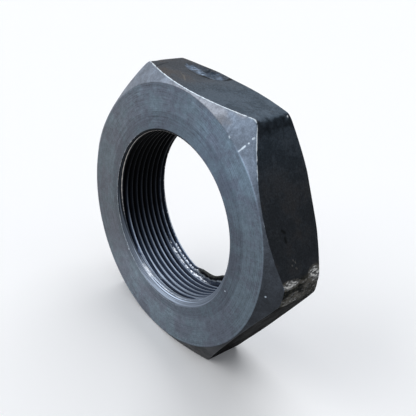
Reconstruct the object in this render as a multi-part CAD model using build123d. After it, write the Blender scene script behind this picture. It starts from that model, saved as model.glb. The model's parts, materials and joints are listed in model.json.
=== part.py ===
from build123d import *
from math import atan2, cos, degrees, pi, radians, sqrt, tan
import os

# Large thin hexagon lock nut for the output shaft of a steering gear, made from one piece of steel.
# Millimetres. The thread axis lies along Y: the plain bearing face looks towards -Y and the staked
# end is at +Y. The nut stands on the flat that faces -Z, and its width across corners lies along X.
# The origin is on the thread axis, half way through the thickness.

# Hexagon
across_flats = 66.675           # 2 5/8 inch wrench size
thickness = 15.875              # 5/8 inch, face to face
corner_round = 2.0              # radius of the five sound corners
worn_corner_length = 2.3        # how far the worn corner is bruised back along each of its flats
worn_corner_round = 0.8         # radius at the two edges of the bruised facet

# Turned chamfers of the two faces
front_chamfer_circle = 65.9     # diameter of the flat bearing face
front_chamfer_angle = 33.7      # degrees between the chamfer and the face
back_chamfer_circle = 67.6      # diameter of the flat back face
back_chamfer_angle = 27.3

# Bore of a 1 3/4 - 16 thread, drawn at its minor diameter
thread_minor_diameter = 42.9
countersink_diameter = 45.0     # where the countersink meets the face
countersink_depth = 0.85

# Marks of the two stakes that lock the thread, each made by two blows of a round-nosed tool
stake_tool_radius = 5.56        # nose of the tool, across the mark
stake_depth = 0.7
stake_from_back = 2.0           # middle of the marks to the back face
first_blow_centre = -11.2       # along the flat, from its middle
first_blow_length = 9.0
second_blow_centre = -5.2
second_blow_length = 6.0

# Bore wall that the stakes press inwards
pinch_height = 0.42             # how far the wall stands into the bore at the staked end
pinch_length = 3.6              # from the back face to where the wall is round again
pinch_radius = 30.0             # flattened curve of the pressed wall

# Values that follow from the sizes above
half_thickness = thickness / 2
flat_distance = across_flats / 2
corner_radius = flat_distance / cos(pi / 6)
bore_radius = thread_minor_diameter / 2


def turned(*points):
    """Solid turned about the thread axis from its (radius, y) outline."""
    outline = make_face(Polyline(*points, close=True))
    return revolve(outline, Axis.Y)


def hexagon_bar():
    """Hexagon with five rounded corners, and the corner at +X bruised to a narrow facet."""
    outline = RegularPolygon(flat_distance, 6, major_radius=False)
    sound_corners = outline.vertices().sort_by(Axis.X)[:-1]
    outline = fillet(sound_corners, corner_round)
    worn_corner = outline.vertices().sort_by(Axis.X)[-1]
    outline = chamfer(worn_corner, worn_corner_length)
    facet_edges = outline.vertices().sort_by(Axis.X)[-2:]
    outline = fillet(facet_edges, worn_corner_round)
    return extrude(Plane.XZ * outline, half_thickness, both=True)


def chamfered_envelope():
    """Round blank with a cone at each end, which cuts the hexagon's corners back."""
    rim = corner_radius + corner_round
    front_radius = front_chamfer_circle / 2
    back_radius = back_chamfer_circle / 2
    front_drop = (rim - front_radius) * tan(radians(front_chamfer_angle))
    back_drop = (rim - back_radius) * tan(radians(back_chamfer_angle))
    return turned(
        (0, -half_thickness),
        (front_radius, -half_thickness),
        (rim, front_drop - half_thickness),
        (rim, half_thickness - back_drop),
        (back_radius, half_thickness),
        (0, half_thickness),
    )


def bore():
    """Straight hole at the thread's minor diameter."""
    return turned(
        (0, -thickness),
        (bore_radius, -thickness),
        (bore_radius, thickness),
        (0, thickness),
    )


def countersinks():
    """The two lead-in cones, run on to their tips so that they also trim the pressed wall."""
    mouth_radius = countersink_diameter / 2
    tip = half_thickness - mouth_radius * countersink_depth / (mouth_radius - bore_radius)
    back_cone = turned((0, half_thickness), (mouth_radius, half_thickness), (0, tip))
    front_cone = turned((0, -half_thickness), (mouth_radius, -half_thickness), (0, -tip))
    return back_cone + front_cone


def blow(centre, length):
    """Barrel-shaped dent of one blow, with its axis over the top flat and along X."""
    long_radius = (length ** 2 / 4 + stake_depth ** 2) / (2 * stake_depth)
    end = 0.55 * length
    end_radius = stake_tool_radius - long_radius + sqrt(long_radius ** 2 - end ** 2)
    curve = ThreePointArc((-end, end_radius), (0, stake_tool_radius), (end, end_radius))
    sides = Polyline((end, end_radius), (end, 0), (-end, 0), (-end, end_radius))
    barrel = revolve(make_face(curve + sides), Axis.X)
    height = flat_distance + stake_tool_radius - stake_depth
    return Pos(centre, half_thickness - stake_from_back, height) * barrel


def stake_mark():
    """The overlapping dents on the top flat, beside the back face."""
    return blow(first_blow_centre, first_blow_length) + blow(second_blow_centre, second_blow_length)


def pressed_wall():
    """Crescent that the stake on the top flat raises on the bore wall, deepest at the back face."""
    start = half_thickness - pinch_length
    offset = pinch_radius - bore_radius + pinch_height
    wall = turned(
        (0, start),
        (bore_radius + pinch_height, start),
        (bore_radius + pinch_height, half_thickness),
        (0, half_thickness),
    )
    hollow = turned(
        (0, start),
        (pinch_radius + 2 * pinch_height, start),
        (pinch_radius, half_thickness),
        (0, half_thickness),
    )
    crescent = wall - Pos(-offset, 0, 0) * hollow
    stake_middle = (first_blow_centre + second_blow_centre) / 2
    stake_angle = degrees(atan2(flat_distance, stake_middle))
    return Rot(0, -stake_angle, 0) * crescent


def lock_nut():
    """The whole nut; the stakes on the top and bottom flats are half a turn apart."""
    opposite = Rot(0, 180, 0)
    body = hexagon_bar() & chamfered_envelope()
    body -= bore()
    body += pressed_wall()
    body += opposite * pressed_wall()
    body -= countersinks()
    body -= stake_mark()
    body -= opposite * stake_mark()
    return body


os.makedirs("parts", exist_ok=True)
nut = lock_nut()
nut.label = "lock_nut"
export_step(nut, "parts/lock_nut.step")
print("lock_nut", round(nut.volume, 1), "mm3,", len(nut.solids()), "solid,", len(nut.faces()), "faces")
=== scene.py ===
import bpy
import json
import numpy as np
from functools import partial
from math import cos, pi, radians, sin, sqrt, tan
from mathutils import Matrix, Vector


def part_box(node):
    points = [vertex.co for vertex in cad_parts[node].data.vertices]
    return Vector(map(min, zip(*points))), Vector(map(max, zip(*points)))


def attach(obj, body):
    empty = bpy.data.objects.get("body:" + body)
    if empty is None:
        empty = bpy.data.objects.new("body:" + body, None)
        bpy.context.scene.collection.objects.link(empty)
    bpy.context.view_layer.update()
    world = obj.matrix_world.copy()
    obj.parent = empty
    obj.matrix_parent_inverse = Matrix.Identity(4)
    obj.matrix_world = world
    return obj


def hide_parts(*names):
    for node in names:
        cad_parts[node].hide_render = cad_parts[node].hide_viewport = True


# Pitman arm nut: its finished surface, its steel finishes, the floor, the light and the camera.
# Shapes are worked out in millimetres about the thread axis and scaled to metres at the end.
# Angles are degrees round the thread axis, from +X towards +Z, as seen from the bearing face at -Y.

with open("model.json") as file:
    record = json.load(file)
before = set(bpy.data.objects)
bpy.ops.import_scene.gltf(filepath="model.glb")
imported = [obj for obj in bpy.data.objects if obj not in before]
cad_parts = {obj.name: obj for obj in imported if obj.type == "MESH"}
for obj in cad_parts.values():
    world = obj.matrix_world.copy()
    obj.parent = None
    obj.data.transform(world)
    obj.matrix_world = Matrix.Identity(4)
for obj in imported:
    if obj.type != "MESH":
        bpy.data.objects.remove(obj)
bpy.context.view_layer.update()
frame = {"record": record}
scene = bpy.context.scene

toMetres = 0.001
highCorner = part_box("lock_nut")[1]
halfThickness = highCorner.y / toMetres
flatDistance = highCorner.z / toMetres
cornerRadius = flatDistance / cos(radians(30))
boreRadius = next(m["dims"]["r_mm"] for m in frame["record"]["mounts"] if m["name"] == "thread")
print("frame loaded: half thickness", round(halfThickness, 3), "flat distance", round(flatDistance, 3))


# Shared shape formulas

def smoothMax(a, b, blend):
    # the larger of the two, run together: larger + (blend - gap)^2 / (4 blend)
    lift = np.maximum(blend - np.abs(a - b), 0)
    return np.maximum(a, b) + lift * lift / (4 * blend)


def easeStep(value, low, high):
    # from 0 at low to 1 at high, by 3t^2 - 2t^3
    t = np.clip((value - low) / (high - low), 0, 1)
    return t * t * (3 - 2 * t)


def angleFrom(angle, centre):
    # signed difference of two directions in degrees
    return (angle - centre + 180) % 360 - 180


def nearAngle(angle, centre, fade, full):
    # 1 within full degrees of a direction, easing to 0 at fade degrees from it
    return easeStep(np.abs(angleFrom(angle, centre)), fade, full)


def hump(value, centre, width):
    # bell curve: e^-((value - centre) / width)^2
    return np.exp(-((value - centre) / width) ** 2)


def angleOf(points):
    # direction of each point from the thread axis
    return np.degrees(np.arctan2(points[..., 2], points[..., 0])) % 360


def ringPoints(radius, y, angles):
    # points by their distance from the thread axis, along it and round it
    turn = np.radians(angles)
    return np.stack([radius * np.cos(turn), y, radius * np.sin(turn)], axis=-1)


def ripple(points, wavelength, seed, waves=18):
    # sum of plane waves in random directions, mostly within -1 to 1
    rng = np.random.default_rng(seed)
    directions = rng.normal(size=(waves, 3))
    directions /= np.linalg.norm(directions, axis=1)[:, None]
    lengths = wavelength * rng.uniform(0.7, 1.5, waves)
    phases = rng.uniform(0, 2 * pi, waves)
    turns = points @ (directions / lengths[:, None]).T * 2 * pi + phases
    return np.sin(turns).sum(axis=-1) / sqrt(waves)


# Outer form: the hexagon, both faces and both turned chamfers

hexagon = {
    "cornerBlend": 1.07,      # width over which two flats run together at a corner
    "bruiseDepth": 1.27,      # how far the corner at +X is beaten back
    "bruiseBlend": 0.5,
    "frontCircle": 65.9,      # where the front face meets its chamfer, diameter
    "frontAngle": 33.7,       # between the chamfer and the face
    "frontCentre": -0.12,     # height of the front circle's middle
    "backCircle": 67.6,
    "backAngle": 27.3,
    "circleBlend": 0.16,      # rounding where a face meets its chamfer
    "edgeBlend": 0.24,        # rounding where the front chamfer meets the flats
    "backEdgeBlend": 0.12,
    "columns": 492,
    # where columns stand closer: middle, width or fade and full, extra density
    "closer": [(corner, 3.2, 1.3) for corner in range(0, 360, 60)] + [(0, 7, 1.4)],
    "closerBands": ((104, 14, 10, 1.1), (284, 14, 10, 1.1), (268, 44, 36, 0.8)),
}
stake = {
    "angle": 104,             # middle of the mark on the top flat; the other is half a turn on
    # two blows: middle and half length along the flat, middle and half width along Y, depth
    "blows": ((-9.6, 4.9, 4.25, 2.85, 0.48), (-5.2, 3.3, 5.05, 2.6, 0.5)),
    "blend": 0.1,
    "rimBlend": 0.04,
    # pressed wall: degrees from the middle of the mark, and how far it stands in
    "turns": (-22, -19, -16, -12.5, -9, -2, 2, 5.5, 9, 13, 18, 26, 34, 42),
    "heights": (0, 0.1, 0.5, 0.95, 1.05, 1.05, 1.2, 1.55, 2, 2.25, 2.15, 1.4, 0.4, 0),
    "rise": (3.6, 7),         # where the pressed wall begins along Y, and where it is full
}
bore = {
    "mouthRadius": 22.5,
    "chamferDepth": 0.85,     # length of the countersink along the axis
    "frontRadius": 22.6,      # mouth of the front countersink, and its middle off the thread axis
    "frontCentre": (0.25, -0.5),
    "mouthGap": 0.06,         # from the mouth to the first row of the face
}
knocks = (
    # bell-shaped hollows in the steel: place, radius, depth
    ((36.9, -5.9, 1.9), 1.1, 0.2), ((36.7, -2.6, 2.6), 1.5, 0.24), ((36.9, -0.4, 2.7), 0.8, 0.16),
    ((37, 4, 2.8), 1.2, 0.08), ((37.4, 2, 0.3), 1.2, 0.08), ((37.3, -3.8, -1.2), 1.5, 0.1),
    ((36.3, -4.4, -3), 1.2, 0.16), ((34.7, -0.45, 6.56), 0.45, 0.1), ((35.6, -0.9, 5), 0.4, 0.1),
    ((21.1, -5.3, 30.1), 0.5, 0.15), ((22, -5.9, 28.6), 0.4, 0.12), ((22.9, -6.3, 27), 0.5, 0.16),
    ((24.1, -6.8, 24.9), 0.4, 0.12), ((25.4, -7.2, 22.4), 0.4, 0.12), ((33, -6.9, 9.4), 0.5, 0.16),
    ((-19, 7.5, 32.9), 1.3, 0.14), ((-19.2, -3, 33.3), 2, 0.14), ((19.9, 5.2, 33.1), 0.6, 0.14),
    ((19.5, 6.6, 33.2), 0.4, 0.1), ((19.4, 3.9, 33.3), 0.3, 0.06),
)

frontCircle = hexagon["frontCircle"] / 2
backCircle = hexagon["backCircle"] / 2
frontSlope = radians(hexagon["frontAngle"])
backSlope = radians(hexagon["backAngle"])
beatenPlane = cornerRadius - hexagon["bruiseDepth"]
coreRadius = 28               # ring inside the steel that all rows look out from


def columnAngles():
    # equal shares of a density that rises at the corners, the marks and the pressed wall
    fine = np.linspace(0, 360, 7201)
    density = np.ones_like(fine)
    for middle, width, extra in hexagon["closer"]:
        density += extra * hump(angleFrom(fine, middle), 0, width)
    for middle, fade, full, extra in hexagon["closerBands"]:
        density += extra * nearAngle(fine, middle, fade, full)
    total = np.concatenate([[0], np.cumsum((density[1:] + density[:-1]) / 2)])
    shares = np.linspace(0, total[-1], hexagon["columns"], endpoint=False)
    return np.interp(shares, total, fine)


def frontMouth(angles):
    # radius of the front countersink's mouth about the thread axis
    a = np.radians(angles)
    return bore["frontRadius"] + bore["frontCentre"][0] * np.cos(a) + bore["frontCentre"][1] * np.sin(a)


def flatReach(x, z):
    # how far a point reaches along each of the six flat normals
    return np.stack([x * cos(radians(a)) + z * sin(radians(a)) for a in range(30, 390, 60)])


def sideDistance(x, z):
    # how far a point lies outside the two nearest flats and the beaten corner
    reach = np.sort(flatReach(x, z), axis=0) - flatDistance
    side = smoothMax(reach[-1], reach[-2], hexagon["cornerBlend"])
    return smoothMax(side, x - beatenPlane, hexagon["bruiseBlend"])


def coneDistances(radius, y, height):
    # how far a point lies outside the front and the back chamfer cone; height is its Z over its radius
    beyond = radius - frontCircle - hexagon["frontCentre"] * height
    outFront = (-y - halfThickness) * cos(frontSlope) + beyond * sin(frontSlope)
    outBack = (y - halfThickness) * cos(backSlope) + (radius - backCircle) * sin(backSlope)
    return outFront, outBack


def stakeBite(x, y, z):
    # how deep a point lies in the blows, bowls with the depth (1 - q^2) below the flat, where q is the
    # squared distance from the middle as a share of the bowl's size
    bite = np.full(x.shape, -9.0)
    for turn in (1, -1):
        for middle, halfLength, middleY, halfWidth, depth in stake["blows"]:
            q = ((x * turn - middle) / halfLength) ** 2 + ((y - middleY) / halfWidth) ** 2
            hollow = depth * (1 - np.minimum(q, 2.2) ** 2)
            bite = smoothMax(bite, z * turn - flatDistance + hollow, stake["blend"])
    return bite


def shellDistance(x, y, z):
    # how far a point lies outside the whole outer form
    radius = np.hypot(x, z)
    coneFront, coneBack = coneDistances(radius, y, z / radius)
    front = smoothMax(-y - halfThickness, coneFront, hexagon["circleBlend"])
    back = smoothMax(y - halfThickness, coneBack, hexagon["circleBlend"])
    shell = smoothMax(sideDistance(x, z), front, hexagon["edgeBlend"])
    shell = smoothMax(shell, back, hexagon["backEdgeBlend"])
    return smoothMax(shell, stakeBite(x, y, z), stake["rimBlend"])


def dentDepths(points):
    # sum of the knocks' bell curves
    depth = np.zeros(points.shape[:-1])
    for place, size, deep in knocks:
        depth += deep * np.exp(-((points - place) ** 2).sum(axis=-1) / size ** 2)
    return depth


def forgedWaves(points):
    # depth of the waves on the flats, the beaten corner and the stake marks
    x, y, z = np.moveaxis(points, -1, 0)
    onSide = easeStep(sideDistance(x, z), -0.5, -0.02)
    depth = 0.02 * np.clip(1 + ripple(points, 9, 21), 0.1, 3) * onSide
    beaten = easeStep(x, 35.9, 36.8)
    depth += beaten * np.clip(0.05 + 0.06 * ripple(points, 1.6, 22), 0, 1) * easeStep(y, 7.5, 5)
    inBite = easeStep(stakeBite(x, y, z), -0.2, -0.02)
    return depth + inBite * np.clip(0.03 + 0.03 * ripple(points, 1.1, 23), 0, 1)


def onShell(angles, targetRadius, targetY, removed):
    # where a ray from the core ring through the target leaves the form, found by halving
    outward = targetRadius - coreRadius
    low = np.full(outward.shape, 0.05)
    high = np.full(outward.shape, 1.06)
    for step in range(26):
        middle = (low + high) / 2
        points = ringPoints(coreRadius + outward * middle, targetY * middle, angles)
        outside = shellDistance(*np.moveaxis(points, -1, 0)) + removed > 0
        high = np.where(outside, middle, high)
        low = np.where(outside, low, middle)
    return ringPoints(coreRadius + outward * low, targetY * low, angles)


faceShares = (0, 0.02, 0.06, 0.15, 0.27, 0.4, 0.53, 0.66, 0.78, 0.88, 0.94, 0.97, 0.988)
chamferShares = (0, 0.012, 0.03, 0.07, 0.18, 0.34, 0.5, 0.66, 0.82, 0.93, 0.97, 0.988)
sideShares = np.concatenate([
    (0, 0.005, 0.012, 0.024, 0.042), np.linspace(0.07, 0.6, 15), np.linspace(0.625, 0.955, 15),
    (0.972, 0.984, 0.992, 0.997),
])


def shellRows(angles):
    # rows of target points along each section's outline, closer together near its corners
    x, z = np.cos(np.radians(angles)), np.sin(np.radians(angles))
    side = np.minimum(flatDistance / flatReach(x, z).max(axis=0), beatenPlane / np.maximum(x, 0.01))
    side = np.minimum(side, cornerRadius - 0.3)
    circle = frontCircle + hexagon["frontCentre"] * z
    frontDrop = np.maximum(side - circle, 0) * tan(frontSlope)
    backDrop = np.maximum(side - backCircle, 0) * tan(backSlope)
    backEnd = np.full_like(side, halfThickness)
    corners = np.array([
        (frontMouth(angles) + bore["mouthGap"], -backEnd),
        (np.minimum(circle, side - 0.4), -backEnd),
        (side, frontDrop - halfThickness),
        (side, halfThickness - backDrop),
        (np.minimum(backCircle, side - 0.6), backEnd),
        (np.full_like(side, bore["mouthRadius"] + bore["mouthGap"]), backEnd),
    ])[:, :, None]
    backShares = 1 - np.array(faceShares[::-1])
    shares = (faceShares, chamferShares, sideShares, chamferShares, backShares)
    shares = [np.reshape(share, (-1, 1)) for share in shares]
    rows = [start * (1 - share) + end * share for start, end, share in zip(corners, corners[1:], shares)]
    radii, heights = np.concatenate(rows, axis=1)
    return radii, heights, [len(share) for share in shares]


# Bore: countersinks, thread and the wall that the stakes pressed inwards

threadForm = {
    "pitch": 25.4 / 16,
    "crestAtRight": -4.53,    # where the crest line crosses angle 0, along Y
    "depth": 0.859,
    # section of the groove: distance from the crest in pitches, and share of the depth
    "along": (0, 0.07, 0.11, 0.42, 0.5),
    "sunk": (0, 0, 0.07, 0.94, 1),
    # share of the depth that is cut, by the Y of the groove's root
    "rootAt": (-6.85, -6.62, -6.385, -6.345, 6.43, 6.76),
    "cut": (0, 0.16, 0.2, 1, 1, 0),
    # rows of the strip across one pitch, with the crest at 0
    "steps": (-0.42, -0.27, -0.11, -0.07, 0, 0.07, 0.11, 0.27, 0.42, 0.5),
}
tornBands = {
    # bands along the helix: place and width in turns, middle in degrees, and where they fade and are full
    "smear": (6.42, 0.3, 261, 35, 15),
    "lastGroove": (7.35, 0.32, 255, 19, 15),
    "beads": (7.27, 0.1, 255, 18, 14),
}
leadRows = (
    # loops of the countersink from the thread to its mouth: along the axis, outwards, how light low in the
    # bore and high on the left as painted light and shade, and how bright the edge's line, also a painted
    # highlight, and the frost, also a painted glint
    (0.11, 0, 1.2, 1, 0.54, 0.52),
    (0, 0.02, 1.7, 1, 0.98, 0.56),
    (-0.09, 0.12, 0.8, 0.5, 0.56, 0.52),
    (-0.15, 0.19, 0.72, 0.4, 0, 0.46),
    (-0.21, 0.265, 2.35, 0.4, 0, 0.56),
    (-0.27, 0.34, 0.95, 0.6, 0, 0.42),
    (-0.5, 0.625, 1, 1.7, 0, 0.2),
    (-0.72, 0.895, 1, 0.45, 0, 0.05),
    (-0.838, 0.99, 0.78, 0.3, 0, 0),
)


def pressedIn(angle, y):
    # how far the stakes push the wall inwards: a profile round the bore times a rise towards the back
    press = np.zeros(np.broadcast(angle, y).shape)
    rise = easeStep(y, *stake["rise"])
    for centre in (stake["angle"], stake["angle"] + 180):
        press = press + np.interp(angleFrom(angle, centre), stake["turns"], stake["heights"]) * rise
    return press


def tornBand(name, angle, y):
    # share of a band: a bell curve across it, where crests lie at whole turns
    turn, width, middle, fade, full = tornBands[name]
    along = (y - threadForm["crestAtRight"]) / threadForm["pitch"] + (angle % 360) / 360
    return hump(along, turn, width) * nearAngle(angle, middle, fade, full)


def beadRow(angle, y):
    # torn crest at the last groove: a row of uneven beads
    swell = 0.5 + 0.5 * np.cos(np.radians(angle * 105) + 1.6 * np.sin(np.radians(angle * 37)))
    return tornBand("beads", angle, y) * swell


def threadWall(angle, y, along):
    # radius of the threaded wall; along runs from -0.5 to 0.5 across one pitch with the crest at 0
    flank = np.interp(np.abs(along), threadForm["along"], threadForm["sunk"])
    rootY = y + (np.where(along < 0, -0.5, 0.5) - along) * threadForm["pitch"]
    cut = np.interp(rootY, threadForm["rootAt"], threadForm["cut"])
    closed = np.maximum(tornBand("smear", angle, y), 0.9 * tornBand("lastGroove", angle, y))
    return boreRadius + threadForm["depth"] * flank * cut * (1 - closed)


def leadShare(angles, side):
    # size of the countersink round the bore, as a share of its nominal size
    mouth = frontMouth(angles) if side < 0 else np.full_like(angles, bore["mouthRadius"])
    return (mouth - boreRadius) / (bore["mouthRadius"] - boreRadius)


def leadIn(angles, side):
    # loops of the countersink: side is -1 in front and 1 behind
    share = leadShare(angles, side)
    rows = []
    for inset, out, *looks in leadRows:
        y = side * (halfThickness - bore["chamferDepth"] * share - inset * np.where(inset > 0, 1, share))
        rows.append(ringPoints(boreRadius + out * share - pressedIn(angles, y), y, angles))
    return np.stack(rows)


def tornSurface(points, angle, y):
    # lumps and chatter of the staked end of the bore, as a height towards the axis
    torn = easeStep(y, 4.2, 6.2) * nearAngle(angle, 290, 34, 18)
    lumps = ripple(points, 1.3, 41) * 0.16 + ripple(points, 0.55, 42) * 0.08
    chatter = tornBand("smear", angle, y) * ripple(points, 0.6, 43) * 0.07
    return torn * lumps + 0.16 * beadRow(angle, y) + chatter


def threadStrip(angles):
    # a strip along the helix, whose rows climb one pitch a turn: points, share of the groove's depth, and
    # which points lie past either end
    frontEnd = leadRows[0][0] + bore["chamferDepth"] * leadShare(angles, -1) - halfThickness
    backEnd = halfThickness - bore["chamferDepth"] - leadRows[0][0]
    turns = np.arange(-2, 10)
    place = np.add.outer(turns, threadForm["steps"]).reshape(-1, 1)
    along = np.tile(threadForm["steps"], len(turns))[:, None]
    y = threadForm["crestAtRight"] + threadForm["pitch"] * (place - angles / 360)
    inside = np.minimum(y - frontEnd, backEnd - y)
    radius = threadWall(angles, y, along)
    radius = boreRadius + (radius - boreRadius) * easeStep(inside, 0, 0.25)
    depth = (radius - boreRadius) / threadForm["depth"]
    torn = tornSurface(ringPoints(radius, y, angles), angles, y) * easeStep(inside, 0, 0.2)
    points = ringPoints(radius - pressedIn(angles, y) - torn, y, angles)
    return points, depth, y < frontEnd + 0.03, y > backEnd - 0.03


def stripFaces(ids):
    # two triangles for each cell of a grid of vertex numbers, without those shrunk to a line
    a, b, c, d = ids[:-1, :-1], ids[:-1, 1:], ids[1:, 1:], ids[1:, :-1]
    triangles = np.stack([a, b, c, a, c, d], axis=-1).reshape(-1, 3)
    rows = np.repeat(np.arange(len(a)), 2 * a.shape[1])
    whole = (triangles != np.roll(triangles, 1, axis=1)).all(axis=1)
    return triangles[whole], rows[whole]


# Finish values, and painted light and shade, that follow the shape, stored on the mesh for the materials

edgeWear = {
    # bright wear of the front edge round the nut: angle and share
    "angles": (0, 6, 14, 26, 34, 40, 46, 52, 58, 61, 66, 76, 90, 106, 116, 120, 124, 150, 176, 184, 210, 236,
               244, 270, 296, 304, 330, 352, 360),
    "shares": (0.1, 0.16, 0.2, 0.34, 0.16, 0.3, 0.7, 0.8, 0.85, 0.95, 0.9, 0.9, 0.9, 0.9, 0.95, 1, 0.7, 0.5,
               0.5, 0.5, 0.4, 0.4, 0.4, 0.3, 0.3, 0.35, 0.15, 0.1, 0.1),
    "frontWidth": 0.15,
    "backShare": 0.4,
    "backWidth": 0.14,
    "cornerShare": 0.6,
    "cornerWidth": 1.1,       # in degrees
    "rimWidth": 0.12,
}
scuffs = (
    # scraped patches: middle, half length along the axis, half width, strength
    ((36.95, -3.2, 2.65), 3.2, 1, 0.74),
    ((36.9, 4.9, 3), 2.1, 1.9, 0.7), ((36.9, 1, 2.3), 1.2, 0.4, 0.4),
    ((37.3, -1.6, 0.2), 1.6, 0.35, 0.3), ((36.35, -2.5, -3), 3.2, 0.5, 0.3),
    ((36.2, 2.4, -3.2), 2, 0.4, 0.26), ((36.95, 4.4, 0.2), 3.6, 2.8, 0.24),
    ((36.95, -0.8, -1.4), 5.2, 1.3, 0.24),
)
finishAndLightRound = {
    # how light the steel is round the nut, as a share of the finish's own colour: painted light and shade,
    # lighter where the lamps fall and darker on sides turned away from them
    "angles": (0, 20, 34, 42, 50, 58, 66, 74, 82, 92, 100, 120, 130, 146, 160, 178, 205, 222, 240, 256, 270,
               290, 300, 330, 345, 360),
    "face": (0.86, 0.9, 1.04, 1.14, 1.2, 1.26, 1.24, 1.2, 1.1, 1, 0.98, 0.98, 0.96, 0.92, 0.86, 0.81,
             0.77, 0.9, 1.38, 1.56, 1.48, 1.32, 1.18, 0.96, 0.88, 0.88),
    "chamfer": (0.13, 0.24, 0.36, 0.6, 0.62, 0.53, 0.62, 0.7, 0.83, 0.86, 0.78, 0.7, 0.64, 0.7, 0.78, 0.52,
                0.6, 0.6, 0.58, 0.5, 0.35, 0.12, 0.09, 0.12, 0.13, 0.13),
    "bore": (0.3, 0.3, 0.3, 0.3, 0.25, 0.2, 0.15, 0.1, 0.03, 0.015, 0.01, 0.007, 0.007, 0.008, 0.01, 0.019,
             0.075, 0.3, 0.6, 0.52, 0.46, 0.33, 0.36, 0.35, 0.3, 0.3),
    "leadIn": (0.2, 0.2, 0.2, 0.2, 0.2, 0.15, 0.1, 0.06, 0.05, 0.03, 0.02, 0.015, 0.015, 0.015, 0.02, 0.04,
               0.1, 0.2, 0.28, 0.36, 0.41, 0.41, 0.34, 0.26, 0.22, 0.2),
    # painted light and shade of the six flats, as steps at the corners
    "flatAngles": (0, 20, 40, 50, 53.5, 55.5, 57, 58, 59.4, 60.4, 66, 80, 95, 118.5, 121.5, 178.5, 181.5,
                   238.5, 241.5, 298.5, 301.5, 358.5, 360),
    "flats": (0.3, 0.29, 0.32, 0.38, 0.42, 0.38, 0.18, 0.2, 0.34, 1.12, 1.1, 1.03, 0.95, 0.84, 0.7, 0.7,
              0.6, 0.6, 0.5, 0.5, 0.03, 0.03, 0.3),
    # share of blue tint on the faces and chamfers, and of brown stain on the flats
    "blue": (0.5, 0.6, 0.8, 1, 1, 1, 1, 1, 0.8, 0.8, 0.7, 0.6, 0.4, 0.1, 0, 0, 0, 0.1, 0.2, 0.2, 0.2, 0.3,
             0.4, 0.5, 0.5, 0.5),
    "stain": (0.8, 0.8, 0.7, 0.5, 0.2, 0.1, 0.12, 0.12, 0.15, 0.3, 0.8, 1, 0.5, 0.5, 0.5, 0.5, 0.5, 0.5,
              0.5, 0.5, 0.5, 0.6, 0.9, 1, 0.9, 0.8),
    # bare metal on the bore's mouth, and on the countersink's inner edge, where the bright line is also a
    # painted highlight
    "rim": (0.1, 0.1, 0.1, 0.1, 0.1, 0.1, 0, 0, 0, 0, 0, 0, 0.4, 0.5, 0.5, 0.52, 0.58, 0.66, 0.66, 0.6, 0.52,
            0.5, 0.3, 0.1, 0.1, 0.1),
    "innerEdge": (0.3, 0.3, 0.3, 0.3, 0.3, 0.3, 0.35, 0.4, 0.5, 0.62, 0.7, 0.75, 0.85, 0.9, 0.95, 0.85, 0.5,
                  0.12, 0.15, 0.45, 0.5, 0.5, 0.4, 0.3, 0.3, 0.3),
    # how clear the countersink's tool lines and the faces' turning marks are
    "tooled": (0.1, 0.1, 0.1, 0.1, 0.1, 0.1, 0, 0, 0, 0, 0, 0, 0, 0, 0, 0, 0.1, 0.35, 0.75, 0.85, 0.8, 0.6,
               0.45, 0.2, 0.1, 0.1),
    "rings": (0.3, 0.3, 0.3, 0.3, 0.35, 0.4, 0.5, 0.7, 0.9, 1, 1, 1, 0.9, 0.8, 0.8, 0.9, 0.7, 0.5, 0.5, 0.6,
              0.6, 0.5, 0.4, 0.3, 0.3, 0.3),
    # painted light in the lower grooves
    "paintedGrooveLight": (0.3, 0.1, 0, 0, 0, 0, 0, 0, 0, 0, 0, 0, 0, 0, 0, 0, 0, 0.2, 0.6, 0.9, 1, 1, 0.9, 0.6, 0.5,
               0.3),
}


def around(points, name, angles="angles"):
    # a table's value in each point's direction
    return np.interp(angleOf(points), finishAndLightRound[angles], finishAndLightRound[name])


def frostAndGlintPatch(angles):
    # frosted patch low on the left of the bore, also a painted glint
    return hump(angleFrom(angles, 253), 0, 12)


def shellWear(points, angle, side, coneFront, coneBack):
    # the brightest wear of the front edge, the back edge, the corners and the bore's mouths
    y = points[..., 1]
    nearSide = hump(side, 0, 0.35)
    patchy = 0.92 + 0.27 * ripple(points, 1.1, 11)
    frontEdge = np.interp(angle, edgeWear["angles"], edgeWear["shares"]) * np.clip(patchy, 0.2, 1.3)
    frontEdge = frontEdge * hump(side - coneFront, 0, edgeWear["frontWidth"])
    backGap = side - np.maximum(coneBack, y - halfThickness)
    backEdge = edgeWear["backShare"] * nearSide * hump(backGap, 0, edgeWear["backWidth"])
    backEdge = backEdge * np.clip(patchy, 0, 1)
    corner = hump((angle + 30) % 60 - 30, 0, edgeWear["cornerWidth"]) * nearSide * (np.abs(angle - 180) < 170)
    speckle = np.clip(0.25 + 0.75 * ripple(points, 0.7, 12), 0, 1.3) * (0.35 + 0.65 * easeStep(y, 2.5, 5.5))
    corner = edgeWear["cornerShare"] * corner * speckle
    mouth = np.where(y < 0, frontMouth(angle), bore["mouthRadius"])
    rim = hump(np.hypot(points[..., 0], points[..., 2]) - mouth, 0, edgeWear["rimWidth"])
    return np.maximum.reduce([frontEdge, backEdge, corner, around(points, "rim") * rim])


def scrapedShare(points):
    # the strongest scuff at each point
    scraped = np.zeros(points.shape[:-1])
    for middle, halfLength, halfWidth, strength in scuffs:
        offset = (points - middle) / (halfWidth, halfLength, halfWidth)
        scraped = np.maximum(scraped, strength * easeStep((offset ** 2).sum(axis=-1), 1.6, 0.2))
    return scraped


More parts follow.
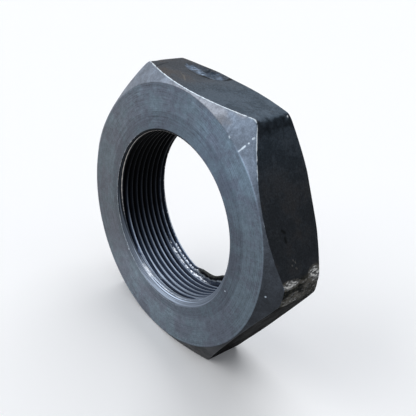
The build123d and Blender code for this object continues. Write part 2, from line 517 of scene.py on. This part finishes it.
def struckToneAndShadow(along, y, points):
    # light patch at one end, painted shade on the far wall, and a painted shadow line under the near rim at
    # the other end
    patch = hump(along, -11.6, 2) * hump(y, 3.9, 1.2) + 0.4 * hump(along, -4.5, 1.2) * hump(y, 5.7, 0.7)
    streak = hump(along, -7.9, 1.6) * hump(y - 0.25 * (along + 8.2) ** 2, 3.25, 0.34)
    middle, halfLength, middleY, halfWidth = stake["blows"][1][:4]
    fromMiddle = ((along - middle) / halfLength) ** 2 + ((y - middleY) / halfWidth) ** 2
    # painted shadow under the near rim
    rim = easeStep(fromMiddle, 0.48, 0.72) * easeStep(along, -6.4, -4.4)
    farRimShade = easeStep(fromMiddle, 0.7, 0.95) * (y > middleY)
    toneAndPaintedLight = 0.72 + 1.5 * patch + 1.7 * streak + 0.22 * ripple(points, 0.9, 61)
    return np.clip(toneAndPaintedLight * (1 - 0.6 * farRimShade) * (1 - 0.97 * rim), 0.02, 3)


def shellFinish(points):
    # the values of the outer form
    x, y, z = np.moveaxis(points, -1, 0)
    angle = angleOf(points)
    radius = np.hypot(x, z)
    coneFront, coneBack = coneDistances(radius, y, z / radius)
    side = sideDistance(x, z)
    onFlat = easeStep(side - np.maximum(coneFront, coneBack), -0.05, 0.05) > 0.5
    onCone = np.where(y < 0, coneFront + y, coneBack - y) + halfThickness
    chamfer = easeStep(onCone, -0.02, 0.02)
    struck = easeStep(stakeBite(x, y, z), -0.1, -0.02)
    # painted light and shade: faces, chamfers and flats lighter or darker by their direction round the nut
    ends = around(points, "face") * (1 - chamfer) + around(points, "chamfer") * chamfer
    wavy = points + 0.5 * np.stack([ripple(points, 1.6, seed) for seed in (13, 14, 15)], axis=-1)
    toneAndPaintedLight = np.where(onFlat, around(wavy, "flats", "flatAngles"), ends)
    # a dark and a light line along parts of the front circle
    circleGap = radius - frontCircle - hexagon["frontCentre"] * z / radius
    darkLine = hump(circleGap, -0.06, 0.15) * nearAngle(angle, 92, 40, 30) * (y < -7)
    lightLine = hump(circleGap, 0.02, 0.13) * nearAngle(angle, 46, 16, 8) * (y < -7)
    toneAndPaintedLight = toneAndPaintedLight * (1 - 0.45 * darkLine) * (1 + 0.7 * lightLine)
    toneAndPaintedLight = toneAndPaintedLight * (1 - struck) + struckToneAndShadow(x * np.sign(z), y, points) * struck
    # painted highlight: lighter chamfer at the upper right corner
    toneAndPaintedLight = toneAndPaintedLight * (1 + 0.22 * chamfer * hump(side, -0.4, 0.9) * hump(angleFrom(angle, 50), 0, 9) * ~onFlat)
    warm = easeStep(angle + 3 * ripple(points, 3, 16), 64, 69) * easeStep(angle, 108, 92)
    return {
        "wear": shellWear(points, angle, side, coneFront, coneBack),
        "chamfer": chamfer,
        "bruise": easeStep(x, 36.1, 36.9),
        "struck": struck,
        "toneAndPaintedLight": toneAndPaintedLight,
        "tint": np.where(onFlat, around(points, "stain"), around(points, "blue") * (1 - chamfer * warm)),
        "scraped": scrapedShare(points),
        "rings": around(points, "rings"),
    }


def boreFinish(points):
    # the values of the thread and the back countersink, with the dark torn end of the pressed wall
    y = points[..., 1]
    angle = angleOf(points)
    smear = tornBand("smear", angle, y) * np.clip(0.8 + 0.4 * ripple(points, 1.5, 51), 0, 1.3)
    # frost, and a painted glint, low on the left of the bore
    frostAndGlint = 0.54 * frostAndGlintPatch(angle) * easeStep(y, -5.8, -6.4)
    torn = easeStep(y, 4.8, 5.8) * nearAngle(angle, 290, 26, 17)
    # painted light and shade round the bore, with the torn end darker
    toneAndPaintedLight = around(points, "bore") * (1 - torn * np.clip(0.32 + 0.26 * ripple(points, 0.9, 52), 0, 0.75))
    # painted highlight: the first and the last crests are lighter on the left
    toneAndPaintedLight *= 1 + 1.3 * hump(angle, 210, 28) * easeStep(y, -4.4, -5)
    ragged = np.clip(1 + 0.6 * ripple(points, 0.7, 53), 0, 2)
    toneAndPaintedLight *= 1 + 1.2 * hump(angle, 185, 45) * easeStep(y, 4.9, 5.4) * ragged
    wear = np.maximum.reduce([0.76 * smear, 1.4 * beadRow(angle, y), frostAndGlint])
    tooled = easeStep(y, -4.8, -6.2) * around(points, "tooled")
    plain = dict.fromkeys(("struck", "tint", "scraped", "rings"), 0 * y)
    return {"wear": wear, "chamfer": tooled, "bruise": torn, "toneAndPaintedLight": toneAndPaintedLight, **plain}


def addLeadFinish(values, angles, front, back):
    # the countersinks are the first and the last loops of the values
    paintedLightLow, paintedLightHigh, edge, frostAndGlint = np.array(leadRows).T[2:, :, None]
    first = slice(0, len(front))
    last = slice(-len(back), None)
    low = nearAngle(angles, 270, 46, 28)
    high = nearAngle(angles, 165, 55, 35)
    # painted light and shade on the front countersink, set low in the bore and high on the left
    values["toneAndPaintedLight"][first] = around(front, "leadIn") * (1 + low * (paintedLightLow - 1) + high * (paintedLightHigh - 1))
    values["chamfer"][first] = around(front, "tooled")
    bright = np.maximum(edge * around(front, "innerEdge"), frostAndGlint * frostAndGlintPatch(angles))
    values["wear"][first] = np.maximum(values["wear"][first], bright)
    plain = boreFinish(back)
    values["toneAndPaintedLight"][last], values["bruise"][last] = plain["toneAndPaintedLight"], plain["bruise"]
    values["wear"][last] = edge[::-1] * 0.5 * (1 - plain["bruise"])


def grooveShadeByDepth(points, depth, angles):
    # painted shade by depth in the groove, less where painted light falls into the lower grooves or the far
    # end is worn, and a painted shadow in the slit behind the stake
    y = points[..., 1]
    paintedGrooveLight = around(points, "paintedGrooveLight") * (0.35 + 0.65 * easeStep(y, 2.5, -5.5)) * easeStep(y, 5.2, 4.6)
    paintedGrooveLight *= 1 - hump(y, -4.98, 0.34) * nearAngle(angles, 282, 20, 14)
    worn = 0.5 * easeStep(y, 5.8, 6.2) * hump(angleOf(points), 185, 45)
    slitShadow = hump(y, 6.25, 0.28) * nearAngle(angles, 286, 13, 10)
    return np.maximum(depth * (1 - paintedGrooveLight) * (1 - worn), slitShadow)


def addObject(name, data):
    made = bpy.data.objects.new(name, data)
    scene.collection.objects.link(made)
    return made


def buildNut():
    # closed loops round the outside, joined at both ends to the thread's strip
    angles = columnAngles()
    columns = len(angles)
    targetRadius, targetY, counts = shellRows(angles)
    clean = onShell(angles, targetRadius, targetY, 0)
    shell = onShell(angles, targetRadius, targetY, forgedWaves(clean) + dentDepths(clean))
    print("outer form:", shell.shape[0], "rows of", columns)
    front = leadIn(angles, -1)
    back = leadIn(angles, 1)[::-1]
    loops = np.concatenate([front, shell, back])
    loopIds = np.arange(loops.shape[0] * columns).reshape(-1, columns)
    loopFaces, loopRows = stripFaces(np.concatenate([loopIds, loopIds[:, :1]], axis=1))

    thread, depth, beforeFront, pastBack = threadStrip(angles)
    stripIds = np.arange(depth.size).reshape(-1, columns) + loopIds.size
    stripIds = np.where(pastBack, loopIds[-1], np.where(beforeFront, loopIds[0], stripIds))
    # a turn further on, each row meets the row one pitch before it
    steps = len(threadForm["steps"])
    lastColumn = np.concatenate([np.full(steps, loopIds[0, 0]), stripIds[:-steps, 0]])
    stripIds = np.concatenate([stripIds, lastColumn[:, None]], axis=1)
    threadFaces = stripFaces(stripIds[::-1])[0]
    print("bore:", len(threadFaces), "triangles; outside:", len(loopFaces))

    outside = shellFinish(loops)
    addLeadFinish(outside, angles, front, back)
    inside = boreFinish(thread)
    outside["grooveShade"] = np.zeros(loopIds.size)
    inside["grooveShade"] = grooveShadeByDepth(thread, depth, angles)
    # 0 is the turned finish, 1 the flats' finish, 2 that of the countersinks and the thread
    kinds = np.repeat([2, 0, 1, 0, 2], [
        len(front) - 1, counts[0] + counts[1] + 1, counts[2], counts[3] + counts[4] - 1, len(back),
    ])
    kinds = np.concatenate([kinds[loopRows], np.full(len(threadFaces), 2)])

    points = np.concatenate([loops.reshape(-1, 3), thread.reshape(-1, 3)])
    faces = np.concatenate([loopFaces, threadFaces])
    used, corners = np.unique(faces, return_inverse=True)
    mesh = bpy.data.meshes.new("lockNut")
    mesh.from_pydata((points[used] * toMetres).tolist(), [], corners.reshape(-1, 3).tolist())
    for name in outside:
        values = np.concatenate([outside[name].ravel(), inside[name].ravel()])
        layer = mesh.attributes.new(name, "FLOAT", "POINT")
        layer.data.foreach_set("value", values[used].astype(np.float32))
    mesh.polygons.foreach_set("material_index", kinds.astype(np.int32))
    mesh.shade_smooth()
    mesh.set_sharp_from_angle(angle=radians(50))
    mesh.update()
    return addObject("lockNutSurface", mesh)


# Node helpers

def feed(sockets, values):
    # links or constants for sockets, by name or place
    for name, value in values.items():
        if isinstance(value, bpy.types.NodeSocket):
            value.id_data.links.new(value, sockets[name])
        else:
            sockets[name].default_value = value


def addNode(kind, inputs, tree=None, **settings):
    # a new node, in the tree of the sockets that feed it where none is given
    if tree is None:
        tree = next(value.id_data for value in inputs.values() if isinstance(value, bpy.types.NodeSocket))
    made = tree.nodes.new("ShaderNode" + kind)
    for name, value in settings.items():
        setattr(made, name, value)
    feed(made.inputs, inputs)
    return made


def maths(operation, a, b, clamp=False):
    return addNode("Math", {0: a, 1: b}, operation=operation, use_clamp=clamp).outputs[0]


times, plus, minus, larger = (partial(maths, kind) for kind in ("MULTIPLY", "ADD", "SUBTRACT", "MAXIMUM"))


def line(value, slope, start, clamp=False):
    # value times slope plus start
    return plus(times(value, slope), start, clamp)


def vectorMaths(operation, a, b=(0, 0, 0)):
    made = addNode("VectorMath", {0: a, 1: b}, operation=operation)
    return made.outputs["Value" if operation in ("LENGTH", "DOT_PRODUCT") else "Vector"]


def splitParts(vector):
    return addNode("SeparateXYZ", {"Vector": vector}).outputs


def joinParts(**parts):
    return addNode("CombineXYZ", parts).outputs[0]


def mixColour(share, a, b, blend="MIX"):
    return addNode("Mix", {0: share, 6: a, 7: b}, data_type="RGBA", blend_type=blend).outputs[2]


def tinted(colour, by):
    return mixColour(1, colour, by, "MULTIPLY")


def ramp(value, low, high, toLow=0, toHigh=1):
    # smooth step from toLow at low to toHigh at high
    inputs = {"Value": value, "From Min": low, "From Max": high, "To Min": toLow, "To Max": toHigh}
    return addNode("MapRange", inputs, interpolation_type="SMOOTHSTEP").outputs[0]


def noise(where, scale, detail=3, roughness=0.55):
    inputs = {"Vector": where, "Scale": scale, "Detail": detail, "Roughness": roughness}
    return addNode("TexNoise", inputs).outputs["Fac"]


def grain(where, setting):
    # fine speckle: scale, detail and roughness of its noise, and its least and most
    return ramp(noise(where, *setting[:3]), 0.3, 0.7, *setting[3:])


def objectPlace(tree):
    return addNode("TexCoord", {}, tree).outputs["Object"]


def meshValue(tree, name):
    return addNode("Attribute", {}, tree, attribute_name=name).outputs["Fac"]


def bumpNormal(height, distance, strength):
    return addNode("Bump", {"Height": height, "Distance": distance, "Strength": strength}).outputs[0]


def newGroup(name, inputs, outputs):
    # a group with its inputs' first values; its outputs are numbers, and a colour where named so
    tree = bpy.data.node_groups.new(name, "ShaderNodeTree")
    for label, value in inputs.items():
        kind = {3: "Vector", 4: "Color"}.get(np.size(value), "Float")
        socket = tree.interface.new_socket(label, in_out="INPUT", socket_type="NodeSocket" + kind)
        socket.default_value = value
    for label in outputs:
        kind = "Color" if label == "Colour" else "Float"
        tree.interface.new_socket(label, in_out="OUTPUT", socket_type="NodeSocket" + kind)
    return tree, tree.nodes.new("NodeGroupInput").outputs, tree.nodes.new("NodeGroupOutput").inputs


def useGroup(tree, group, *values):
    # a group with values or sockets for its inputs, in their order
    return addNode("Group", dict(enumerate(values)), tree, node_tree=group).outputs


# Effects that several finishes share

def makeMottle():
    # cloudy change of colour: two noises of different size, added
    inputs = {"Scale": 150, "Contrast": 1, "Dark": (0, 0, 0, 1), "Light": (1, 1, 1, 1)}
    tree, given, out = newGroup("steelMottle", inputs, ("Colour", "Share"))
    where = objectPlace(tree)
    large = noise(where, given["Scale"], 4, 0.6)
    small = noise(where, times(given["Scale"], 5.3), 3, 0.6)
    centred = minus(plus(times(large, 0.65), times(small, 0.35)), 0.5)
    share = line(centred, times(given["Contrast"], 4), 0.5, clamp=True)
    feed(out, {"Colour": mixColour(share, given["Dark"], given["Light"]), "Share": share})
    return tree


def makeTurningMarks():
    # rings about the thread axis: a noise read along the distance from it, faded by a cloudy noise
    inputs = {"Rings per metre": 3000, "Patches": 120}
    tree, given, out = newGroup("turningMarks", inputs, ("Height", "Streak", "Arcs"))
    where = objectPlace(tree)
    x, y, z = splitParts(where)
    flat = joinParts(X=x, Z=z)
    radius = vectorMaths("LENGTH", flat)
    ringPlace = times(plus(radius, times(y, 0.6)), given["Rings per metre"])
    inputs = {"W": ringPlace, "Scale": 1, "Detail": 2}
    rings = addNode("TexNoise", inputs, noise_dimensions="1D").outputs["Fac"]
    patches = ramp(noise(where, given["Patches"], 2), 0.35, 0.65, 0.25, 1)
    raised = times(minus(rings, 0.5), patches)
    # short arcs: a noise stretched round the axis, -1 on dark arcs and 1 on light ones
    x, y, z = splitParts(vectorMaths("NORMALIZE", flat))
    arcs = noise(joinParts(X=times(x, 9), Y=ringPlace, Z=times(z, 9)), 1, 2, 0.5)
    arcs = minus(ramp(arcs, 0.56, 0.7), ramp(arcs, 0.44, 0.3))
    feed(out, {
        "Height": plus(raised, 0.5),
        "Streak": ramp(raised, -0.2, 0.2),
        "Arcs": times(arcs, patches),
    })
    return tree


def makeRubbed():
    # bare metal where wear plus a fine noise is high enough
    tree, given, out = newGroup("rubbedSteel", {"Wear": 0, "Grain": 1500, "Breakup": 0.5}, ("Mask",))
    fine = minus(noise(objectPlace(tree), given["Grain"], 3, 0.6), 0.5)
    level = plus(given["Wear"], times(fine, given["Breakup"]))
    worn = ramp(given["Wear"], 0, 0.12)
    feed(out, {"Mask": times(ramp(level, 0.25, 0.75), worn)})
    return tree


def makeScratch():
    # soft-edged line between two points, by the distance from it; equal ends make a speck
    inputs = {"Start": (0, 0, 0), "End": (0, 0, 0), "Width": 0.0002}
    tree, given, out = newGroup("scratchMark", inputs, ("Mask",))
    toPoint = vectorMaths("SUBTRACT", objectPlace(tree), given["Start"])
    whole = vectorMaths("SUBTRACT", given["End"], given["Start"])
    length = larger(vectorMaths("DOT_PRODUCT", whole, whole), 1e-12)
    share = maths("DIVIDE", vectorMaths("DOT_PRODUCT", toPoint, whole), length, clamp=True)
    nearest = addNode("VectorMath", {0: whole, "Scale": share}, operation="SCALE").outputs[0]
    away = vectorMaths("LENGTH", vectorMaths("SUBTRACT", toPoint, nearest))
    feed(out, {"Mask": ramp(away, 0, given["Width"], 1, 0)})
    return tree


mottleGroup = makeMottle()
turningGroup = makeTurningMarks()
rubbedGroup = makeRubbed()
scratchGroup = makeScratch()


def marksMask(tree, marks):
    # the strongest of several bent scratches: points and width in millimetres, and strength
    total = 0
    for points, width, strength in marks:
        ends = [tuple(v * toMetres for v in point) for point in points]
        for start, end in zip(ends, ends[1:]):
            one = useGroup(tree, scratchGroup, start, end, width * toMetres)["Mask"]
            total = larger(times(one, strength), total)
    return total


def onRightFlat(*corners):
    # points of the flat between the corners at 0 and 60 degrees, given along it and along Y
    c = cos(radians(30))
    return [(flatDistance * c - along * 0.5, y, flatDistance * 0.5 + along * c) for along, y in corners]


def onTopFlat(*corners):
    # points of the top flat, given as X and Y
    return [(*corner, flatDistance) for corner in corners]


def newMaterial(name, constants):
    material = bpy.data.materials.new(name)
    material.use_nodes = True
    tree = material.node_tree
    shader = tree.nodes["Principled BSDF"].inputs
    feed(shader, constants)
    return material, tree, shader


# Turned faces and chamfers

turnedFinish = {
    "metallic": 0.75,
    # clouds of colour: scale, contrast, dark and light
    "face": (150, 2, (0.093, 0.103, 0.127, 1), (0.113, 0.141, 0.164, 1)),
    "chamfer": (260, 2, (0.172, 0.19, 0.227, 1), (0.242, 0.268, 0.318, 1)),
    "tint": (0.87, 1, 1.12, 1),
    "bare": (0.46, 0.54, 0.62, 1),
    "turning": (2600, 90),
    "streaks": 0.3,           # how strongly rings and short arcs change the colour
    "arcs": 0.38,
    "fineGrain": (3200, 3, 0.7, -0.17, 0.17),
    "coarseGrain": (700, 2, 0.6, -0.11, 0.11),
    "wearGrain": (1400, 0.7),
    "ringRadius": 25.8,       # polished ring round the bore
    "ringCentre": (1, 0.8),
    "ringShare": 0.3,
    "ringColour": (0.03, 0.036, 0.05, 1),
    "roughness": 0.4,
    "bumpDistance": 0.00002,
    # scratches, and specks with one point twice: points, width, strength
    "scratches": (
        ([(-14.3, -7.94, -18.1)] * 2, 0.42, 1),
        ([(23.3, -7.94, -6.5)] * 2, 0.32, 1),
        ([(34.2, -7.12, -0.75)] * 2, 0.32, 1),
        ([(19.1, -7.8, 26.9), (19.4, -7.4, 27.5)], 0.26, 0.7),
        ([(19.4, -7.4, 27.5), (19.7, -6.9, 28.2)], 0.32, 0.9),
        ([(20.1, -6.4, 28.9)] * 2, 0.3, 1),
        ([(20.4, -5.7, 29.9), (20.5, -5.5, 30.1)], 0.36, 1),
        ([(15.7, -8, 28.8), (15.9, -7.9, 28.6)], 0.34, 0.6),
    ),
}


def ringShare(where, look):
    # 1 inside the polished ring on the bearing face
    x, y, z = splitParts(where)
    middleX, middleZ = look["ringCentre"]
    offset = joinParts(X=minus(x, middleX * toMetres), Z=minus(z, middleZ * toMetres))
    edge = look["ringRadius"] * toMetres
    inside = ramp(vectorMaths("LENGTH", offset), edge - 0.0002, edge + 0.0001, 1, 0)
    return times(inside, ramp(y, 0, -0.001))


def makeTurnedSteel():
    look = turnedFinish
    material, tree, shader = newMaterial("turnedSteel", {"Metallic": look["metallic"]})
    where = objectPlace(tree)
    marks = useGroup(tree, turningGroup, *look["turning"])
    face = useGroup(tree, mottleGroup, *look["face"])
    chamfer = useGroup(tree, mottleGroup, *look["chamfer"])
    bothGrains = plus(grain(where, look["fineGrain"]), grain(where, look["coarseGrain"]))
    streak = plus(line(marks["Streak"], look["streaks"], 0.85), bothGrains)
    arcs = times(marks["Arcs"], times(meshValue(tree, "rings"), look["arcs"]))
    colour = tinted(face["Colour"], plus(streak, arcs))
    colour = mixColour(times(ringShare(where, look), look["ringShare"]), colour, look["ringColour"])
    colour = mixColour(meshValue(tree, "chamfer"), colour, tinted(chamfer["Colour"], plus(bothGrains, 1)))
    colour = mixColour(meshValue(tree, "tint"), colour, tinted(colour, look["tint"]))
    # painted light and shade from the mesh
    colour = tinted(colour, meshValue(tree, "toneAndPaintedLight"))
    bare = useGroup(tree, rubbedGroup, meshValue(tree, "wear"), *look["wearGrain"])["Mask"]
    bare = larger(bare, marksMask(tree, look["scratches"]))
    height = plus(marks["Height"], times(noise(where, 2500, 2), 0.3))
    feed(shader, {
        "Base Color": mixColour(bare, colour, look["bare"]),
        "Roughness": minus(line(face["Share"], 0.12, look["roughness"]), times(bare, 0.15)),
        "Normal": bumpNormal(height, look["bumpDistance"], 0.8),
    })
    return material


# Black oxide of the six flats

flatFinish = {
    "specular": 0.01,
    # clouds of colour of the oxide, the beaten corner and the stake marks
    "oxide": (170, 2, (0.052, 0.071, 0.092, 1), (0.088, 0.116, 0.148, 1)),
    "bruise": (420, 2.4, (0.006, 0.007, 0.007, 1), (0.036, 0.035, 0.029, 1)),
    "struck": (300, 1.8, (0.045, 0.065, 0.095, 1), (0.13, 0.17, 0.23, 1)),
    "brown": (0.108, 0.09, 0.078, 1),
    "brownGrain": (170, 4, 0.6),
    "speck": (0.16, 0.165, 0.17, 1),
    "speckGrain": (2600, 2, 0.6),
    "grain": (2400, 3, 0.7, 0.8, 1.2),
    "scar": (0.17, 0.16, 0.145, 1),
    "gougeAndShadow": (0.006, 0.007, 0.007, 1),
    "smear": (0.086, 0.081, 0.071, 1),
    "bare": (0.5, 0.53, 0.56, 1),
    "wearGrain": (1300, 0.9),
    "scrape": (0.4, 0.405, 0.4, 1),
    "scrapeGrain": (2500, 3, 0.65),
    "scrapeStretch": (1, 0.35, 1),
    "scrapeBreakup": 2.6,
    "roughness": 0.58,
    "bumpDistance": 0.00006,
    # thin light scars on the top flat and the flat at the right, and dark lines there: gouges, and painted
    # shadow along the rims of the stake marks
    "lightMarks": (
        (onTopFlat((-8.9, -2.3), (-7, -2.9), (-4.7, -4.4)), 0.36, 0.8),
        (onRightFlat((-11.1, -1.2), (-11.3, -1.1)), 0.28, 0.8),
        (onRightFlat((-11.6, -0.6), (-11.9, -0.5)), 0.3, 1),
        (onRightFlat((-12.1, -1.7), (-12.3, -1.6)), 0.26, 0.6),
        (onRightFlat((-13, -0.7), (-13.2, -0.5)), 0.32, 1),
    ),
    "gougesAndRimShadows": (
        (onTopFlat((-14.9, -4.9), (-15.3, -3.7), (-16, -2), (-16.1, -0.8)), 0.45, 0.6),
        (onTopFlat((-5.6, 1.8), (-4, 2.3), (-2.9, 3.4), (-1.9, 5.1), (-1.9, 6.6), (-2.2, 7.6)), 0.85, 1),
        (onTopFlat((-12, 1.8), (-9.5, 1.1), (-7.4, 1.2), (-5.6, 1.6)), 0.34, 0.85),
        (onTopFlat((-12.6, 5.5), (-11.6, 6.2), (-10.4, 6.9), (-7.5, 7.6)), 0.4, 0.85),
        (onRightFlat((-4.2, -2.9), (-4.9, -2.2)), 0.6, 1),
        (onRightFlat((-6, -2.4), (-6.9, -2.3)), 0.55, 1),
    ),
}


def makeOxideSteel():
    look = flatFinish
    material, tree, shader = newMaterial("oxideSteel", {"Specular IOR Level": look["specular"]})
    where = objectPlace(tree)
    toneAndPaintedLight, struck, scraped = (meshValue(tree, name) for name in ("toneAndPaintedLight", "struck", "scraped"))
    oxide = useGroup(tree, mottleGroup, *look["oxide"])
    brown = line(ramp(noise(where, *look["brownGrain"]), 0.42, 0.66), 0.45, 0.35)
    colour = mixColour(times(brown, meshValue(tree, "tint")), oxide["Colour"], look["brown"])
    specks = ramp(noise(where, *look["speckGrain"]), 0.6, 0.72, 0, 0.35)
    colour = mixColour(specks, colour, look["speck"])
    # painted light and shade from the mesh, with a fine grain
    colour = tinted(colour, times(toneAndPaintedLight, grain(where, look["grain"])))
    light = times(marksMask(tree, look["lightMarks"]), ramp(oxide["Share"], 0.2, 0.7, 0.2, 0.8))
    colour = mixColour(light, colour, look["scar"])
    # dark gouges, and painted shadow along the stake marks' rims
    colour = mixColour(times(marksMask(tree, look["gougesAndRimShadows"]), 0.92), colour, look["gougeAndShadow"])
    # beaten corner, and the grey smear about the scuffs
    beaten = useGroup(tree, mottleGroup, *look["bruise"])
    colour = mixColour(meshValue(tree, "bruise"), colour, beaten["Colour"])
    smear = times(line(beaten["Share"], 0.7, 0.3), ramp(scraped, 0.02, 0.24))
    colour = mixColour(smear, colour, look["smear"])
    nose = useGroup(tree, mottleGroup, *look["struck"])
    colour = mixColour(struck, colour, tinted(nose["Colour"], toneAndPaintedLight))
    bare = useGroup(tree, rubbedGroup, meshValue(tree, "wear"), *look["wearGrain"])["Mask"]
    colour = mixColour(bare, colour, look["bare"])
    # scuffs: strength plus a noise stretched along the axis, first grey, then bare metal
    stretched = vectorMaths("MULTIPLY", where, look["scrapeStretch"])
    streaks = minus(noise(stretched, *look["scrapeGrain"]), 0.5)
    scrape = plus(scraped, times(streaks, look["scrapeBreakup"]))
    inside = ramp(scraped, 0.02, 0.2)
    under = times(ramp(scrape, 0.25, 0.6, 0, 0.6), inside)
    colour = mixColour(under, colour, look["speck"])
    scrape = times(ramp(scrape, 0.56, 0.86), inside)
    height = plus(noise(where, 1400, 4, 0.6), times(scrape, 0.8))
    feed(shader, {
        "Base Color": mixColour(scrape, colour, look["scrape"]),
        "Metallic": larger(larger(bare, scrape), times(struck, 0.35)),
        "Roughness": line(oxide["Share"], 0.15, look["roughness"]),
        "Normal": bumpNormal(height, look["bumpDistance"], 0.7),
    })
    return material


# Thread and countersinks

threadFinish = {
    "specular": 0.03,
    "roughness": 0.42,
    "crest": (0.5, 0.6, 0.76, 1),
    "flank": (0.072, 0.1, 0.165, 1),
    # near-black painted shade at the roots of the grooves
    "root": (0.006, 0.009, 0.018, 1),
    "torn": (0.128, 0.138, 0.132, 1),
    "bare": (0.56, 0.6, 0.66, 1),
    "bareInShade": (0.54, 0.51, 0.48, 1),
    "turning": (5200, 160),
    "tooling": (4300, 200),
    "wearGrain": 1600,
    "breakup": (-0.005, 0.002, 0.8, 1.9),   # from and to in metres along Y, least and most
    "bumpDistance": 0.00002,
}


def makeThreadSteel():
    look = threadFinish
    constants = {"Specular IOR Level": look["specular"], "Roughness": look["roughness"]}
    material, tree, shader = newMaterial("threadSteel", constants)
    where = objectPlace(tree)
    grooveShade, toneAndPaintedLight, lined = (meshValue(tree, name) for name in ("grooveShade", "toneAndPaintedLight", "chamfer"))
    marks = useGroup(tree, turningGroup, *look["turning"])
    tooled = useGroup(tree, turningGroup, *look["tooling"])
    colour = mixColour(ramp(grooveShade, 0.005, 0.09), look["crest"], look["flank"])
    colour = tinted(colour, line(marks["Streak"], 0.9, 0.45))
    colour = mixColour(lined, colour, tinted(colour, line(tooled["Streak"], 2.4, -0.25)))
    colour = mixColour(meshValue(tree, "bruise"), colour, look["torn"])
    # painted shade deep in the grooves
    colour = mixColour(ramp(grooveShade, 0.25, 0.7), colour, look["root"])
    # painted light and shade from the mesh
    colour = tinted(colour, toneAndPaintedLight)
    wear = times(meshValue(tree, "wear"), line(times(tooled["Arcs"], lined), 0.9, 1))
    breakup = ramp(splitParts(where)["Y"], *look["breakup"])
    bare = useGroup(tree, rubbedGroup, wear, look["wearGrain"], breakup)["Mask"]
    bareColour = mixColour(ramp(toneAndPaintedLight, 0.05, 0.3), look["bareInShade"], look["bare"])
    height = plus(noise(where, 2500), times(marks["Height"], 0.8))
    feed(shader, {
        "Base Color": mixColour(bare, colour, bareColour),
        "Metallic": larger(toneAndPaintedLight, bare, clamp=True),
        "Normal": bumpNormal(height, look["bumpDistance"], 0.7),
    })
    return material


nut = buildNut()
for make in (makeTurnedSteel, makeOxideSteel, makeThreadSteel):
    nut.data.materials.append(make())
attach(nut, "root")
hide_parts("lock_nut")
print("nut surface:", len(nut.data.polygons), "triangles")


# Floor, light and camera

studio = {
    "floorHalf": 3,           # half the width of the floor, in metres
    "floorColour": (0.98, 0.98, 0.98, 1),
    "worldColour": (0.4, 0.415, 0.44, 1),
    "backgroundColour": (1, 1, 1, 1),
    # lamps: name, direction towards it, strength, width in degrees, colour
    "suns": (
        ("keySun", (-0.5, -0.75, 0.45), 1.6, 60, (1, 1, 1)),
        ("topSun", (-0.5, 0.45, 0.74), 1.6, 60, (0.97, 0.98, 1)),
    ),
}
cameraView = {
    "azimuth": 45.156,        # degrees; 0 looks along +Y
    "elevation": 29.803,
    "roll": 9.965,
    "distance": 156.87,       # millimetres from the origin
    "right": 3.9045,          # how far it stands right of the line to the origin
    "up": 0.6806,
    "lens": 53.5735,
}


def makeFloor():
    half = studio["floorHalf"]
    level = -flatDistance * toMetres
    corners = [(x * half, y * half, level) for x, y in ((-1, -1), (1, -1), (1, 1), (-1, 1))]
    mesh = bpy.data.meshes.new("floor")
    mesh.from_pydata(corners, [], [(0, 1, 2, 3)])
    constants = {"Base Color": studio["floorColour"], "Roughness": 0.9, "Specular IOR Level": 0}
    mesh.materials.append(newMaterial("paleFloor", constants)[0])
    floor = addObject("floor", mesh)


def addSun(name, towards, strength, spread, colour):
    lamp = bpy.data.lights.new(name, "SUN")
    lamp.energy = strength
    lamp.angle = radians(spread)
    lamp.color = colour
    made = addObject(name, lamp)
    made.rotation_mode = "QUATERNION"
    made.rotation_quaternion = Vector(towards).to_track_quat("Z", "Y")


def makeWorld():
    # white wherever it is seen, straight or mirrored, and dimmer as a light
    world = bpy.data.worlds.new("studio")
    world.use_nodes = True
    tree = world.node_tree
    path = addNode("LightPath", {}, tree).outputs
    seen = larger(larger(path["Is Camera Ray"], path["Is Glossy Ray"]), path["Is Transmission Ray"])
    colour = mixColour(seen, studio["worldColour"], studio["backgroundColour"])
    feed(tree.nodes["Background"].inputs, {"Color": colour})
    scene.world = world


def makeCamera():
    a, e, roll = (radians(cameraView[name]) for name in ("azimuth", "elevation", "roll"))
    back = Vector((sin(a) * cos(e), -cos(a) * cos(e), sin(e)))
    level = Vector((cos(a), sin(a), 0))
    upright = back.cross(level)
    right = level * cos(roll) + upright * sin(roll)
    up = upright * cos(roll) - level * sin(roll)
    stand = (back * cameraView["distance"] + right * cameraView["right"] + up * cameraView["up"]) * toMetres
    data = bpy.data.cameras.new("camera")
    data.lens = cameraView["lens"]
    data.sensor_width = 36
    data.clip_start = 0.005
    camera = addObject("camera", data)
    camera.matrix_world = Matrix.Translation(stand) @ Matrix((right, up, back)).transposed().to_4x4()
    scene.camera = camera


makeFloor()
for sun in studio["suns"]:
    addSun(*sun)
makeWorld()
makeCamera()
scene.view_settings.view_transform = "Standard"
print("floor, light and camera placed")
